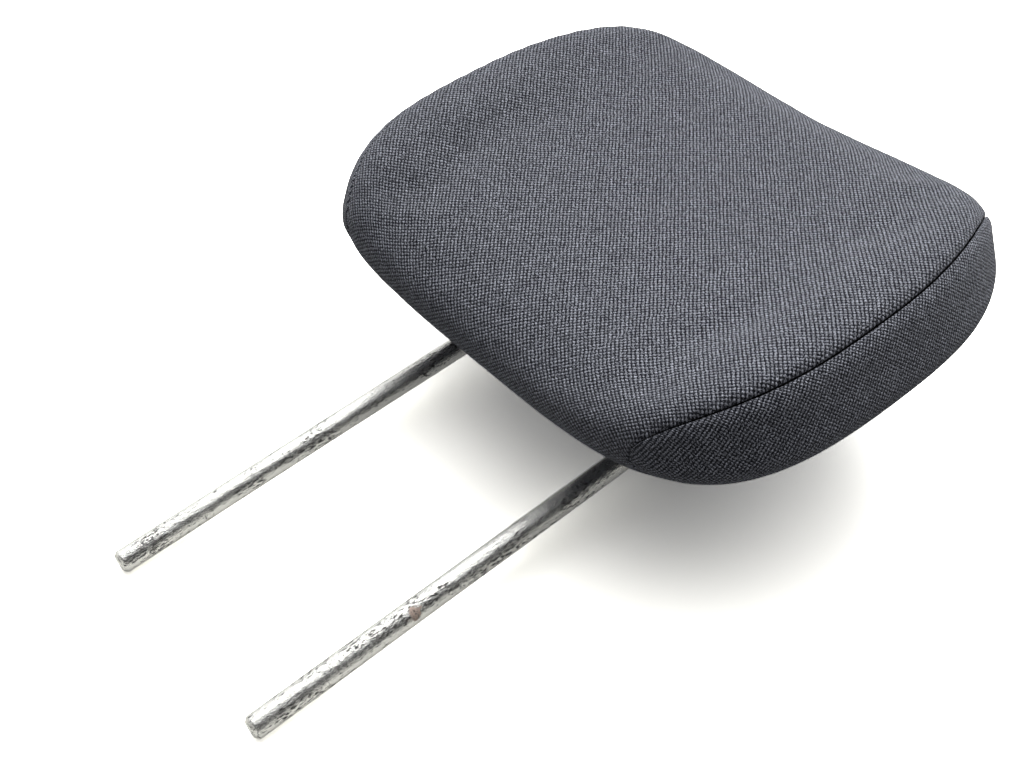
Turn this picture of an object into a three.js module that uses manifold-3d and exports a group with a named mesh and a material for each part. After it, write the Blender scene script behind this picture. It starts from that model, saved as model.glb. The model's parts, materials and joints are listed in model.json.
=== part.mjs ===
// A car headrest: a bent steel bar that makes both posts, a plastic core in two halves that grips it, a
// moulded foam pad, a sewn fabric cover in three panels, and the hook strips that close the cover between
// the posts.
//
// Sizes are in millimetres. Pieces are shaped in the headrest's own frame: X across, Y up the posts, Z
// towards the head, with the posts' axes in the plane Z = 0 and the cushion's bottom edge at Y = 0. The
// finished group then lies on its back, front face up, on the floor Z = 0.

import * as THREE from 'three';
import { ParametricGeometry } from 'three/addons/geometries/ParametricGeometry.js';
import { mergeVertices } from 'three/addons/utils/BufferGeometryUtils.js';
import Module from 'manifold-3d';

const wasm = await Module();
wasm.setup();

// Gap kept between pieces that touch
const clearance = 0.3;

// Steel bar
const barDiameter = 10;
const postSpacing = 102;
const postReach = 138.8;
const crossbarHeight = 138;
const bendRadius = 22;
const tipChamfer = 1.6;

// Cushion outline, seen from the front
const cushionHeight = 235;
const cornerWidth = 253.2;
const sideBow = 10.8;
const endHollow = 11.3;
const topCornerRoundness = 0.68;
const bottomCornerRoundness = 0.527;

// Cushion thickness, to the front and the back of the widest line round it
const beltHeight = 50.4;
const frontDepth = 22.2;
const backDepth = 36;
const backFullness = 36;
const sideRise = 13.9;
const endRise = 3.8;
const frontSideRoundness = 0.607;
const frontBottomRoundness = 0.786;
const frontTopRoundness = 0.568;
const backSideRoundness = 0.778;
const backBottomRoundness = 1;
const backTopRoundness = 0.681;
const leanBack = 1.66;
const pressedFlat = 1.5;

// Raised rim along each side of the front face, just inside the seam
const rimRise = 8.2;
const rimSetback = 4.1;
const rimInnerWidth = 30;
const rimOuterWidth = 7.5;

// Fabric cover: panel thickness, seams and the edges turned in behind them
const coverThickness = 3;
const seamGap = 0.4;
const seamAllowance = 7;
const allowanceThickness = 1.5;
const seamMiddle = 120.6;
const seamBottomInset = 46.3;
const seamBottomBend = 3.17;
const seamTopInset = 36;
const seamTopBend = 2.23;
const slitWidth = 0.6;

// Hook strips that close the cover
const stripThickness = 1.4;
const stripFoot = 11;
const stripEndGap = 6;
const hookPlay = 0.5;
const hookLength = 4.4;

// Plastic core
const coreMargin = 11;
const coreBottom = 80;
const coreFrontDepth = 22;
const coreRearDepth = 9;
const coreWall = 2.4;
const coreCornerRadius = 12;
const coreEdgeRadius = 3;
const pocketFlare = 1.5;
const ribThickness = 2.2;
const ribPitch = 26;

// Screws that hold the core together
const screwShankDiameter = 3.2;
const screwHeadDiameter = 7;
const screwHeadHeight = 2.4;
const screwCrownDiameter = 5;
const screwRimHeight = 1.4;
const screwLength = 20;
const screwRecess = 1.5;
const crossSlotLength = 4.2;
const crossSlotWidth = 1;
const crossSlotDepth = 1.2;
const bossWall = 2;
const screwColumnOffset = 26;
const screwRowInset = 16;

// Facets
const barSides = 18;
const screwSides = 12;
const coreSteps = 3;
const bendSteps = 6;
const outlineSteps = 44;
const depthSteps = 26;
const beltCrowding = 0.6;
const seamSteps = 16;

const barRadius = barDiameter / 2;
const farOutside = postReach + cushionHeight + cornerWidth;
const fabricLook = { color: 0x5f6169, roughness: 0.95, metalness: 0 };
const steelLook = { color: 0xa3a39c, roughness: 0.45, metalness: 0.9 };
const screwLook = { color: 0x8f9296, roughness: 0.4, metalness: 0.9 };
const foamLook = { color: 0x3b3b3d, roughness: 1, metalness: 0 };
const coreLook = { color: 0x1d1e20, roughness: 0.6, metalness: 0 };
const stripLook = { color: 0x2a2b2d, roughness: 0.5, metalness: 0 };

// Solids and meshes

function toSolid(geometry) {
  const bare = geometry.clone();
  bare.deleteAttribute('normal');
  bare.deleteAttribute('uv');
  const merged = mergeVertices(bare);
  const corners = merged.index.array;
  const kept = [];
  for (let i = 0; i < corners.length; i += 3) {
    const [a, b, c] = [corners[i], corners[i + 1], corners[i + 2]];
    if (a !== b && b !== c && c !== a) kept.push(a, b, c);
  }
  const vertProperties = new Float32Array(merged.attributes.position.array);
  return new wasm.Manifold(new wasm.Mesh({ numProp: 3, vertProperties, triVerts: new Uint32Array(kept) }));
}

function toGeometry(solid) {
  const { vertProperties, triVerts } = solid.getMesh();
  const geometry = new THREE.BufferGeometry();
  geometry.setAttribute('position', new THREE.BufferAttribute(vertProperties, 3));
  geometry.setIndex(new THREE.BufferAttribute(triVerts, 1));
  geometry.computeVertexNormals();
  return geometry;
}

function addPiece(parent, name, shape, look) {
  const geometry = shape.isBufferGeometry ? shape : toGeometry(shape);
  const piece = new THREE.Mesh(geometry, new THREE.MeshStandardMaterial(look));
  piece.name = name;
  parent.add(piece);
  return piece;
}

function box(lowX, highX, lowY, highY, lowZ, highZ) {
  const geometry = new THREE.BoxGeometry(highX - lowX, highY - lowY, highZ - lowZ);
  return toSolid(geometry.translate((lowX + highX) / 2, (lowY + highY) / 2, (lowZ + highZ) / 2));
}

function rodAlongY(x, z, radius, lowY, highY) {
  const geometry = new THREE.CylinderGeometry(radius, radius, highY - lowY, barSides);
  return toSolid(geometry.translate(x, (lowY + highY) / 2, z));
}

function rodAlongZ(x, y, radius, lowZ, highZ) {
  const geometry = new THREE.CylinderGeometry(radius, radius, highZ - lowZ, screwSides);
  return toSolid(geometry.rotateX(Math.PI / 2).translate(x, y, (lowZ + highZ) / 2));
}

// Steel bar, swept along its centre line from the left tip to the right one

function barStations(radius, chamfer) {
  const side = postSpacing / 2;
  const bendStart = crossbarHeight - bendRadius;
  const stations = [
    { x: -side, y: -postReach, alongX: 0, alongY: 1, radius: radius - chamfer },
    { x: -side, y: -postReach + chamfer, alongX: 0, alongY: 1, radius },
  ];
  for (const [centreX, firstAngle] of [[bendRadius - side, Math.PI], [side - bendRadius, Math.PI / 2]]) {
    for (let step = 0; step <= bendSteps; step++) {
      const angle = firstAngle - (step / bendSteps) * (Math.PI / 2);
      stations.push({
        x: centreX + bendRadius * Math.cos(angle),
        y: bendStart + bendRadius * Math.sin(angle),
        alongX: Math.sin(angle),
        alongY: -Math.cos(angle),
        radius,
      });
    }
  }
  stations.push({ x: side, y: -postReach + chamfer, alongX: 0, alongY: -1, radius });
  stations.push({ x: side, y: -postReach, alongX: 0, alongY: -1, radius: radius - chamfer });
  return stations;
}

function sweptBar(radius, chamfer) {
  const stations = barStations(radius, chamfer);
  const positions = [];
  const index = [];
  for (const s of stations) {
    for (let k = 0; k < barSides; k++) {
      const angle = (2 * Math.PI * k) / barSides;
      const sideways = s.radius * Math.cos(angle);
      positions.push(s.x + sideways * s.alongY, s.y - sideways * s.alongX, s.radius * Math.sin(angle));
    }
  }
  for (let ring = 0; ring + 1 < stations.length; ring++) {
    for (let k = 0; k < barSides; k++) {
      const next = (k + 1) % barSides;
      const [a, b] = [ring * barSides + k, ring * barSides + next];
      index.push(a, a + barSides, b, b, a + barSides, b + barSides);
    }
  }
  const last = (stations.length - 1) * barSides;
  for (let k = 1; k + 1 < barSides; k++) {
    index.push(0, k, k + 1, last, last + k + 1, last + k);
  }
  const geometry = new THREE.BufferGeometry();
  geometry.setAttribute('position', new THREE.Float32BufferAttribute(positions, 3));
  geometry.setIndex(index);
  geometry.computeVertexNormals();
  return geometry;
}

// Side seams: each runs up beside the front face, over the corner and down the back

function seamX(y) {
  const height = (2 * y) / cushionHeight - 1;
  if (height > 0) return seamMiddle - seamTopInset * height ** seamTopBend;
  return seamMiddle - seamBottomInset * (-height) ** seamBottomBend;
}

// Cushion surface. turn runs round the outline from the right side, lift runs from the middle of the back
// (-90 degrees) over the belt to the middle of the front, and inset shrinks the whole form.

const signedPower = (value, power) => Math.sign(value) * Math.abs(value) ** power;

function roundnessAt(turn, front) {
  const upper = Math.sin(turn) > 0;
  const side = front ? frontSideRoundness : backSideRoundness;
  const frontEnd = upper ? frontTopRoundness : frontBottomRoundness;
  const backEnd = upper ? backTopRoundness : backBottomRoundness;
  return side * Math.cos(turn) ** 2 + (front ? frontEnd : backEnd) * Math.sin(turn) ** 2;
}

// Height of the rim above the front face, y from the cushion's middle
function rimHeight(x, y, spread, inset) {
  const beyond = Math.abs(x) - (seamX(y + cushionHeight / 2) - rimSetback - inset);
  const width = beyond < 0 ? rimInnerWidth : rimOuterWidth;
  const beltFade = Math.sqrt(1 - Math.min(1, spread) ** 12);
  const endFade = 1 - Math.min(1, Math.abs((2 * y) / cushionHeight)) ** 6;
  return rimRise * Math.exp(-((beyond / width) ** 2)) * beltFade * endFade;
}

function restingPoint(turn, lift, inset) {
  const corner = Math.sin(turn) > 0 ? topCornerRoundness : bottomCornerRoundness;
  const spread = Math.abs(Math.cos(lift)) ** beltCrowding;
  const rise = signedPower(Math.sin(turn), corner) * spread;
  const halfWidth = cornerWidth / 2 + sideBow * (1 - rise ** 2) - inset;
  const x = halfWidth * signedPower(Math.cos(turn), corner) * spread;
  const widthShare = x / (cornerWidth / 2);
  const y = rise * (cushionHeight / 2 - inset - endHollow * (1 - widthShare ** 2));
  const front = lift > 0;
  const roundness = roundnessAt(turn, front);
  const swell = (1 - Math.min(1, spread) ** (2 / roundness)) ** (roundness / 2);
  const curl = sideRise * widthShare ** 2 + endRise * Math.abs((2 * y) / cushionHeight) ** 3;
  const ahead = beltHeight + curl + (frontDepth - inset) * swell + rimHeight(x, y, spread, inset);
  const fullness = backFullness * (1 - spread ** 4) ** 3;
  const behind = beltHeight + curl * spread ** 2 - (backDepth - inset) * swell - fullness;
  const z = front ? ahead : behind;
  const upright = new THREE.Vector3(x, y + cushionHeight / 2, z);
  return upright.applyAxisAngle(new THREE.Vector3(1, 0, 0), THREE.MathUtils.degToRad(-leanBack));
}

// The headrest lies on the tips of its posts and on the back of the cushion, which is pressed a little
// flat there
const tipContactY = tipChamfer - postReach;

function findLie() {
  let lie = { angle: -Math.PI / 2, reach: 1 };
  for (let i = 0; i < outlineSteps; i++) {
    for (let j = 0; j < depthSteps; j++) {
      const turn = (2 * Math.PI * i) / outlineSteps;
      const point = restingPoint(turn, (-Math.PI / 2) * (j / depthSteps), 0);
      const reach = point.y - tipContactY;
      const angle = Math.atan2(-barRadius - point.z, reach);
      if (angle > lie.angle) lie = { angle, reach };
    }
  }
  return lie.angle - pressedFlat / lie.reach;
}

const lieAngle = findLie();
const tableHeight = (y) => -barRadius - (y - tipContactY) * Math.tan(lieAngle);

function cushionSolid(inset) {
  const surface = (u, v, target) => {
    const point = restingPoint(2 * Math.PI * (u % 1), Math.PI * (v - 0.5), inset);
    target.set(point.x, point.y, Math.max(point.z, tableHeight(point.y) + inset));
  };
  return toSolid(new ParametricGeometry(surface, outlineSteps, depthSteps));
}

const coverOutside = cushionSolid(0);
const coverInside = cushionSolid(coverThickness);
const foamOutside = cushionSolid(coverThickness + clearance);
const allowanceInside = cushionSolid(coverThickness + seamAllowance);
const channelInside = cushionSolid(coverThickness + seamAllowance + clearance);

// Cover panels, parted along the side seams

// Everything outside the seam on one side, its edge moved outwards by shift
function besideSeam(side, shift) {
  const outline = new THREE.Shape();
  const low = -coverThickness;
  const high = cushionHeight + coverThickness;
  outline.moveTo(side * farOutside, low);
  for (let step = 0; step <= seamSteps; step++) {
    const y = low + ((high - low) * step) / seamSteps;
    outline.lineTo(side * (seamX(y) + shift), y);
  }
  outline.lineTo(side * farOutside, high);
  const geometry = new THREE.ExtrudeGeometry(outline, { depth: 2 * farOutside, bevelEnabled: false });
  return toSolid(geometry.translate(0, 0, -farOutside));
}

function coverPanels() {
  const half = seamGap / 2;
  const fold = half + allowanceThickness;
  const gussets = [-1, 1].map((side) => {
    const hollow = coverInside.intersect(besideSeam(side, fold)).add(allowanceInside);
    return coverOutside.intersect(besideSeam(side, half)).subtract(hollow);
  });
  const between = (solid, shift) => solid.subtract(besideSeam(-1, shift)).subtract(besideSeam(1, shift));
  const hollow = between(coverInside, -fold).add(allowanceInside);
  let centre = between(coverOutside, -half).subtract(hollow);
  const postX = postSpacing / 2;
  const halfSlit = slitWidth / 2;
  centre = centre.subtract(box(-postX, postX, -postReach, coreBottom, -halfSlit, halfSlit));
  for (const x of [-postX, postX]) {
    centre = centre.subtract(rodAlongY(x, 0, barRadius + clearance, -postReach, coreBottom));
  }
  return { centre, left: gussets[0], right: gussets[1] };
}

// Plastic core: a block split in the plane of the bar, each half a tray with ribs and screw bosses

const coreTop = crossbarHeight + coreMargin;
const coreHalfWidth = postSpacing / 2 + coreMargin;
const screwX = [-screwColumnOffset, screwColumnOffset];
const screwY = [coreBottom + screwRowInset, crossbarHeight - barRadius - screwRowInset];
const screwPlaces = screwY.flatMap((y) => screwX.map((x) => ({ x, y })));

// The screws go in from behind, with their heads sunk in the rear shell
const screwSeatZ = -coreRearDepth + screwHeadHeight + screwRecess;
const screwTipZ = screwSeatZ + screwLength;

function coreBlock(growth) {
  const radius = coreCornerRadius + growth;
  const edge = coreEdgeRadius;
  const left = -coreHalfWidth - growth + edge;
  const right = coreHalfWidth + growth - edge;
  const low = coreBottom - growth + edge;
  const high = coreTop + growth - edge;
  const corner = radius - edge;
  const outline = new THREE.Shape();
  outline.absarc(right - corner, high - corner, corner, 0, Math.PI / 2);
  outline.absarc(left + corner, high - corner, corner, Math.PI / 2, Math.PI);
  outline.absarc(left + corner, low + corner, corner, Math.PI, 1.5 * Math.PI);
  outline.absarc(right - corner, low + corner, corner, 1.5 * Math.PI, 2 * Math.PI);
  const depth = coreFrontDepth + coreRearDepth + 2 * growth - 2 * edge;
  const bevel = { bevelEnabled: true, bevelThickness: edge, bevelSize: edge, bevelSegments: 2 };
  const geometry = new THREE.ExtrudeGeometry(outline, { depth, curveSegments: coreSteps, ...bevel });
  return toSolid(geometry.translate(0, 0, edge - coreRearDepth - growth));
}

function coreRibs(lowZ, highZ) {
  const half = ribThickness / 2;
  const inside = coreHalfWidth - coreWall / 2;
  const [lowY, highY] = [crossbarHeight - coreMargin, coreTop - coreWall / 2];
  let ribs = box(-half, half, lowY, highY, lowZ, highZ);
  for (const x of [-ribPitch, ribPitch]) {
    ribs = ribs.add(box(x - half, x + half, lowY, highY, lowZ, highZ));
  }
  for (const y of [coreBottom + ribPitch / 2, coreBottom + 1.5 * ribPitch]) {
    for (const side of [-1, 1]) {
      const [near, far] = [side * (postSpacing / 2 - coreMargin), side * inside];
      ribs = ribs.add(box(Math.min(near, far), Math.max(near, far), y - half, y + half, lowZ, highZ));
    }
  }
  return ribs;
}

function coreShell(front) {
  const faceZ = (front ? 1 : -1) * (clearance / 2);
  const floorZ = front ? coreFrontDepth : -coreRearDepth;
  const [lowZ, highZ] = [Math.min(faceZ, floorZ), Math.max(faceZ, floorZ)];
  const halfSpace = box(-farOutside, farOutside, -farOutside, farOutside, lowZ, highZ);
  const wallMiddle = coreBlock(-coreWall / 2);
  let shell = coreBlock(0).subtract(coreBlock(-coreWall));
  shell = shell.add(coreRibs(lowZ, highZ).intersect(wallMiddle));
  const boreRadius = screwShankDiameter / 2 + clearance;
  const headSpace = screwHeadDiameter / 2 + clearance;
  const bossRadius = front ? boreRadius + bossWall : headSpace + bossWall;
  for (const { x, y } of screwPlaces) {
    shell = shell.add(rodAlongZ(x, y, bossRadius, lowZ, highZ).intersect(wallMiddle));
  }
  shell = shell.intersect(halfSpace).subtract(toSolid(sweptBar(barRadius + clearance, 0)));
  for (const { x, y } of screwPlaces) {
    shell = shell.subtract(rodAlongZ(x, y, boreRadius, screwSeatZ, screwTipZ + clearance));
    shell = shell.subtract(rodAlongZ(x, y, headSpace, -farOutside, screwSeatZ + clearance));
  }
  return shell;
}

function screwSolid() {
  const shank = screwShankDiameter / 2;
  const head = screwHeadDiameter / 2;
  const profile = [
    [0, -screwHeadHeight],
    [screwCrownDiameter / 2, -screwHeadHeight],
    [head, -screwRimHeight],
    [head, 0],
    [shank, 0],
    [shank, screwLength - shank],
    [0, screwLength],
  ];
  const turned = new THREE.LatheGeometry(profile.map(([r, z]) => new THREE.Vector2(r, z)), screwSides);
  const reach = crossSlotLength / 2;
  const half = crossSlotWidth / 2;
  const slotFloor = crossSlotDepth - screwHeadHeight;
  return toSolid(turned.rotateX(Math.PI / 2))
    .subtract(box(-reach, reach, -half, half, -farOutside, slotFloor))
    .subtract(box(-half, half, -reach, reach, -farOutside, slotFloor));
}

// Foam pad: fills the cover, with a pocket for the core that is open at the bottom and a channel behind
// each seam

function foamSolid() {
  const mouth = coreHalfWidth + pocketFlare;
  const [backZ, frontZ] = [-coreRearDepth - pocketFlare, coreFrontDepth + pocketFlare];
  const opening = box(-mouth, mouth, -farOutside, coreBottom + coreCornerRadius, backZ, frontZ);
  const pocket = coreBlock(clearance).add(opening);
  const foldReach = seamGap / 2 + allowanceThickness + clearance;
  let foam = foamOutside.subtract(pocket);
  for (const side of [-1, 1]) {
    const band = besideSeam(side, -foldReach).subtract(besideSeam(side, foldReach));
    foam = foam.subtract(band.subtract(channelInside));
  }
  return foam;
}

// Hook strips: each has a foot on the inside of the cover beside the slit and a hook that holds the other
// one. Their section is drawn in s, along the cover towards the front, and n, into the cushion.

function closureFrame() {
  const at = (lift) => restingPoint(1.5 * Math.PI, lift, coverThickness);
  const nearEnough = 1e-6;
  const smallTurn = 0.02;
  let low = -Math.PI / 2;
  let high = 0;
  while (high - low > nearEnough) {
    const middle = (low + high) / 2;
    if (at(middle).z < 0) low = middle;
    else high = middle;
  }
  const ahead = at(low + smallTurn).sub(at(low - smallTurn)).normalize();
  const inward = ahead.clone().cross(new THREE.Vector3(1, 0, 0));
  const alongSlit = ahead.clone().cross(inward);
  return new THREE.Matrix4().makeBasis(ahead, inward, alongSlit).setPosition(at(low));
}

function stripSolid(points) {
  const length = postSpacing - barDiameter - 2 * stripEndGap;
  const outline = new THREE.Shape(points.map(([s, n]) => new THREE.Vector2(s, n)));
  const geometry = new THREE.ExtrudeGeometry(outline, { depth: length, bevelEnabled: false });
  geometry.translate(0, 0, -length / 2).applyMatrix4(closureFrame());
  return toSolid(geometry).intersect(foamOutside);
}

function closureStrips() {
  const t = stripThickness;
  const foot = -t;
  const rise = hookPlay + t;
  const hook = hookLength / 2;
  const deck = t + rise;
  const front = [
    [stripFoot, foot], [stripFoot, t], [t - hook, t], [t - hook, deck], [hook - rise, deck],
    [hook - rise, deck + t], [-hook, deck + t], [-hook, foot],
  ];
  const low = t + hookPlay;
  const high = deck + t + hookPlay;
  const rear = [
    [-stripFoot, foot], [-hook - hookPlay - t, foot], [-hook - hookPlay - t, high], [hook - t, high],
    [hook - t, low + t], [rise - hook, low + t], [rise - hook, low], [hook, low], [hook, high + t],
    [-hook - hookPlay - 2 * t, high + t], [-hook - hookPlay - 2 * t, t], [-stripFoot, t],
  ];
  return { front: stripSolid(front), rear: stripSolid(rear) };
}

// Assembly, in the headrest's own frame

const headrest = new THREE.Group();
const core = new THREE.Group();
const cushion = new THREE.Group();
headrest.add(core, cushion);

addPiece(headrest, 'post_bow', sweptBar(barRadius, tipChamfer), steelLook);

addPiece(core, 'core_front_shell', coreShell(true), coreLook);
addPiece(core, 'core_rear_shell', coreShell(false), coreLook);
const screw = toGeometry(screwSolid());
screwPlaces.forEach(({ x, y }, i) => {
  addPiece(core, `core_screw_${i + 1}`, screw.clone(), screwLook).position.set(x, y, screwSeatZ);
});

const panels = coverPanels();
const strips = closureStrips();
addPiece(cushion, 'foam_pad', foamSolid(), foamLook);
addPiece(cushion, 'cover_centre_panel', panels.centre, fabricLook);
addPiece(cushion, 'cover_left_gusset', panels.left, fabricLook);
addPiece(cushion, 'cover_right_gusset', panels.right, fabricLook);
addPiece(cushion, 'closure_strip_front', strips.front, stripLook);
addPiece(cushion, 'closure_strip_rear', strips.rear, stripLook);

// Laid on the floor, centred over the origin
headrest.rotation.x = lieAngle;
headrest.updateMatrixWorld(true);
const extent = new THREE.Box3().setFromObject(headrest, true);
headrest.position.set(0, -(extent.min.y + extent.max.y) / 2, -extent.min.z);

export default headrest;
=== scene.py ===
"""Looks for a car headrest that lies on its back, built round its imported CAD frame.

The frame is in metres, +Z up, with the headrest face up on the floor at Z = 0. Sizes in this file are in
millimetres and in the headrest's own frame: X across, Y up the posts, Z towards the head, with the posts'
axes in the plane Z = 0. ``LyingPlace`` takes them to the frame.
"""

from __future__ import annotations

import json
import logging
import math
from dataclasses import dataclass, field
from enum import Enum
from typing import Any, Callable, Sequence

import bmesh
import bpy
import numpy as np
from mathutils import Matrix, Vector
from mathutils.kdtree import KDTree

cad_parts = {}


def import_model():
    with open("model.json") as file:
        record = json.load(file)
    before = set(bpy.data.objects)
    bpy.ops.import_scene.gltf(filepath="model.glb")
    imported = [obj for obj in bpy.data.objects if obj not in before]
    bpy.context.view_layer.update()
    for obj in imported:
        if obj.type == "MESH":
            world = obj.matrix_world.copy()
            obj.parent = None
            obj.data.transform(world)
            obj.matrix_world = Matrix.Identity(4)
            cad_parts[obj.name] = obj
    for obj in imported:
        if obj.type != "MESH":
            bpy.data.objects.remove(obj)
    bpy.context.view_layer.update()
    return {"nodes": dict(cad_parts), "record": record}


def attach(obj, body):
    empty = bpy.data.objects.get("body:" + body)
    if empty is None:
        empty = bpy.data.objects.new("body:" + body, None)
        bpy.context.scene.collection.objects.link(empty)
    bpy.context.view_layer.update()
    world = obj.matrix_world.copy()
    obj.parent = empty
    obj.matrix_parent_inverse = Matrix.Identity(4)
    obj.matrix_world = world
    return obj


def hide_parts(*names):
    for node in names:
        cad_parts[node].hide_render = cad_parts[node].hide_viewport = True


LOG = logging.getLogger("headrest")
MM = 0.001
CLOTH_MAP = "cloth"

Colour = tuple[float, float, float]


# Placing


@dataclass(frozen=True)
class LyingPlace:
    """Where the headrest's own frame lies in the part's frame."""

    tilt: float
    shift_y: float
    lift: float

    @classmethod
    def from_record(cls, record: dict[str, Any], post_reach: float) -> "LyingPlace":
        """Finds the place from the mount on the end face of a post.

        Args:
            record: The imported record.
            post_reach: How far the posts' tips are from Y = 0, in mm.

        Returns:
            The place of the own frame, in radians and mm.
        """
        mount = next(m for m in record["mounts"] if m["name"] == "left_post_tip")
        axis, tip = mount["axis"], mount["pos_m"]
        tilt = math.atan2(-axis[2], -axis[1])
        shift_y = tip[1] / MM + post_reach * math.cos(tilt)
        lift = tip[2] / MM + post_reach * math.sin(tilt)
        return cls(tilt, shift_y, lift)

    def to_row(self, points: np.ndarray) -> np.ndarray:
        """Takes points in mm in the own frame to metres in the part's frame.

        Args:
            points: An array whose last axis is x, y, z.

        Returns:
            An array of the same shape.
        """
        cos, sin = math.cos(self.tilt), math.sin(self.tilt)
        y, z = points[..., 1], points[..., 2]
        row = np.stack(
            [points[..., 0], y * cos - z * sin + self.shift_y, y * sin + z * cos + self.lift],
            axis=-1,
        )
        return row * MM

    def matrix(self) -> Matrix:
        """The same placing as a matrix from metres in the own frame."""
        turn = Matrix.Rotation(self.tilt, 4, "X")
        return Matrix.Translation((0.0, self.shift_y * MM, self.lift * MM)) @ turn


# Shader building


class Graph:
    """A node tree, with short calls that add nodes and join them."""

    def __init__(self, owner: Any, output: str) -> None:
        """Empties a tree and gives it an output node.

        Args:
            owner: The material, world or node group.
            output: The output node's type.
        """
        if isinstance(owner, bpy.types.NodeTree):
            self.tree = owner
        else:
            owner.use_nodes = True
            self.tree = owner.node_tree
        self.owner = owner
        self.tree.nodes.clear()
        self.output = self.add(output)

    @classmethod
    def for_material(cls, name: str) -> "Graph":
        """Starts an empty material.

        Args:
            name: The material's name.

        Returns:
            Its graph.
        """
        return cls(bpy.data.materials.new(name), "ShaderNodeOutputMaterial")

    def add(
        self, kind: str, inputs: dict[Any, Any] | None = None, **settings: Any
    ) -> bpy.types.Node:
        """Adds a node.

        Args:
            kind: The node's type.
            inputs: Input name or number to a value or to an output socket.
            **settings: Properties of the node.

        Returns:
            The new node.
        """
        node = self.tree.nodes.new(kind)
        for name, value in settings.items():
            setattr(node, name, value)
        for key, value in (inputs or {}).items():
            socket = node.inputs[key]
            if isinstance(value, bpy.types.NodeSocket):
                self.tree.links.new(value, socket)
            elif socket.type == "RGBA":
                socket.default_value = (*value[:3], 1.0)
            else:
                socket.default_value = value
        return node

    def math(self, operation: str, *values: Any) -> bpy.types.NodeSocket:
        """Adds a Math node.

        Args:
            operation: Its operation.
            *values: Numbers or sockets, in order.

        Returns:
            Its output.
        """
        return self.add(
            "ShaderNodeMath", dict(enumerate(values)), operation=operation
        ).outputs[0]

    def vector(self, operation: str, *values: Any, out: str = "Vector") -> bpy.types.NodeSocket:
        """Adds a Vector Math node.

        Args:
            operation: Its operation.
            *values: Vectors or sockets, in order.
            out: Which output is wanted.

        Returns:
            The output.
        """
        node = self.add("ShaderNodeVectorMath", dict(enumerate(values)), operation=operation)
        return node.outputs[out]

    def scaled(self, vector: Any, factor: Any) -> bpy.types.NodeSocket:
        """Multiplies a vector or colour.

        Args:
            vector: The vector, or its socket.
            factor: The number, or its socket.

        Returns:
            The product.
        """
        node = self.add("ShaderNodeVectorMath", {0: vector, "Scale": factor}, operation="SCALE")
        return node.outputs[0]

    def between(
        self, value: Any, low: float, high: float, bottom: float = 0.0, top: float = 1.0
    ) -> bpy.types.NodeSocket:
        """Maps a value smoothly to bottom at low and to top at high.

        Args:
            value: The socket.
            low: Where the result is bottom.
            high: Where the result is top.
            bottom: The least result.
            top: The largest result.

        Returns:
            The mapped output.
        """
        ends = {"From Min": low, "From Max": high, "To Min": bottom, "To Max": top}
        node = self.add(
            "ShaderNodeMapRange", {"Value": value, **ends}, interpolation_type="SMOOTHSTEP"
        )
        return node.outputs["Result"]

    def noise(
        self, place: Any, scale: float, detail: float = 2.0, roughness: float = 0.5
    ) -> bpy.types.NodeSocket:
        """Adds a noise texture.

        Args:
            place: The vector socket.
            scale: Its scale, in features per unit of the vector.
            detail: Its detail.
            roughness: Its roughness.

        Returns:
            Its factor output.
        """
        node = self.add(
            "ShaderNodeTexNoise",
            {"Vector": place, "Scale": scale, "Detail": detail, "Roughness": roughness},
        )
        return node.outputs["Fac"]

    def blend(self, factor: Any, first: Any, second: Any) -> bpy.types.NodeSocket:
        """Mixes two colours.

        Args:
            factor: 0 for the first, 1 for the second.
            first: A colour or socket.
            second: A colour or socket.

        Returns:
            The mixed colour.
        """
        colours = {0: factor, 6: first, 7: second}
        return self.add("ShaderNodeMix", colours, data_type="RGBA").outputs[2]

    def bump(self, height: Any, distance: float, strength: float = 1.0) -> bpy.types.NodeSocket:
        """Adds a bump.

        Args:
            height: The height socket, from 0 to 1.
            distance: The height of 1, in metres.
            strength: Its strength.

        Returns:
            The normal output.
        """
        node = self.add(
            "ShaderNodeBump", {"Height": height, "Distance": distance, "Strength": strength}
        )
        return node.outputs["Normal"]

    def principled(self, inputs: dict[str, Any]) -> bpy.types.Material:
        """Ends the tree in a Principled shader.

        Args:
            inputs: Input name to value or socket.

        Returns:
            The finished material.
        """
        node = self.add("ShaderNodeBsdfPrincipled", inputs)
        self.tree.links.new(node.outputs["BSDF"], self.output.inputs["Surface"])
        return self.owner


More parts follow.
